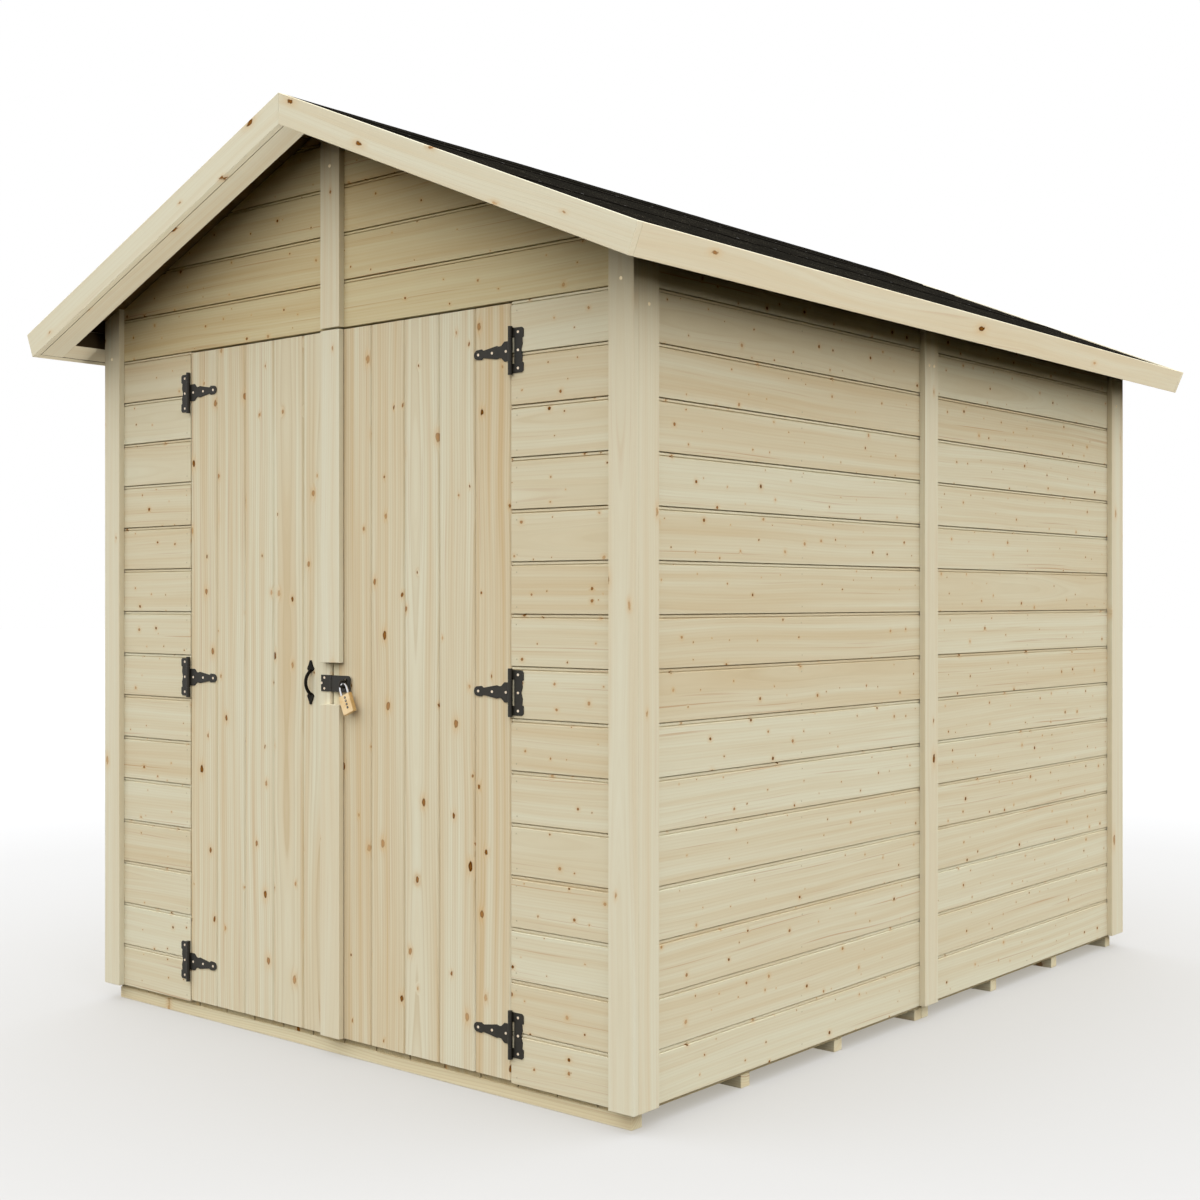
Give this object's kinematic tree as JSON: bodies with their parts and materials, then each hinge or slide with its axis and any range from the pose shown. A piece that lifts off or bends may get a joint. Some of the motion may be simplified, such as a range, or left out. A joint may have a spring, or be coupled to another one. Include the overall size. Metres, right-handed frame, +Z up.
{
  "type": "wooden garden shed",
  "caption": "Apex garden shed in pale pine boarding with trims, a felted roof on battens, a boarded floor on joists, and double front doors on T-hinges with a pull handle, hasp and padlock",
  "frame": {"origin": "centre of the footprint at ground level, under the floor joists", "axes": "+Z up, +Y from the front with the doors to the back, +X to the right of someone facing the doors"},
  "size_m": [2.112, 2.742, 2.2414],
  "materials": {
    "pine_boarding": "planed, unpainted, pale, with knots",
    "framing_timber": "sawn, unpainted",
    "roofing_felt": "black mineral felt",
    "black_ironmongery": "black japanned, slightly glossy",
    "padlock_brass": "brushed",
    "shackle_steel": "polished"
  },
  "bodies": {
    "shed": {"floor_joists": "framing_timber", "floor_deck": "framing_timber", "front_wall_left": "pine_boarding", "front_wall_right": "pine_boarding", "front_gable": "pine_boarding", "left_wall": "pine_boarding", "right_wall": "pine_boarding", "rear_wall": "pine_boarding", "end_wall_studs": "framing_timber", "end_wall_rails": "framing_timber", "side_wall_studs": "framing_timber", "side_wall_rails": "framing_timber", "front_corner_boards": "pine_boarding", "rear_corner_boards": "pine_boarding", "side_corner_boards": "pine_boarding", "side_cover_strips": "pine_boarding", "front_gable_strip": "pine_boarding", "rear_cover_strip": "pine_boarding", "left_hinge_plates": "black_ironmongery", "right_hinge_plates": "black_ironmongery", "left_roof_boards": "framing_timber", "right_roof_boards": "framing_timber", "left_roof_felt": "roofing_felt", "right_roof_felt": "roofing_felt", "left_barge_boards": "pine_boarding", "right_barge_boards": "pine_boarding", "eaves_boards": "pine_boarding", "left_verge_battens": "pine_boarding", "right_verge_battens": "pine_boarding", "eaves_battens": "pine_boarding", "ridge_battens": "framing_timber"},
    "left_door": {"left_door_boards": "pine_boarding", "left_door_ledges": "framing_timber", "left_door_brace": "framing_timber", "left_door_strip": "pine_boarding", "left_hinge_straps": "black_ironmongery", "door_handle": "black_ironmongery", "hasp_leaf": "black_ironmongery", "hasp_flap": "black_ironmongery"},
    "right_door": {"right_door_boards": "pine_boarding", "right_door_ledges": "framing_timber", "right_door_brace": "framing_timber", "right_door_stile": "framing_timber", "right_hinge_straps": "black_ironmongery", "hasp_staple": "black_ironmongery", "padlock_body": "padlock_brass", "padlock_shackle": "shackle_steel"}
  },
  "joints": [
    {"name": "left_door_swing", "type": "hinge", "parent": "shed", "child": "left_door", "pos_m": [-0.5635, -1.208, 0.881], "axis": [0, 0, -1], "range_deg": [0, 160]},
    {"name": "right_door_swing", "type": "hinge", "parent": "shed", "child": "right_door", "pos_m": [0.5735, -1.208, 0.881], "axis": [0, 0, 1], "range_deg": [0, 160]}
  ]
}
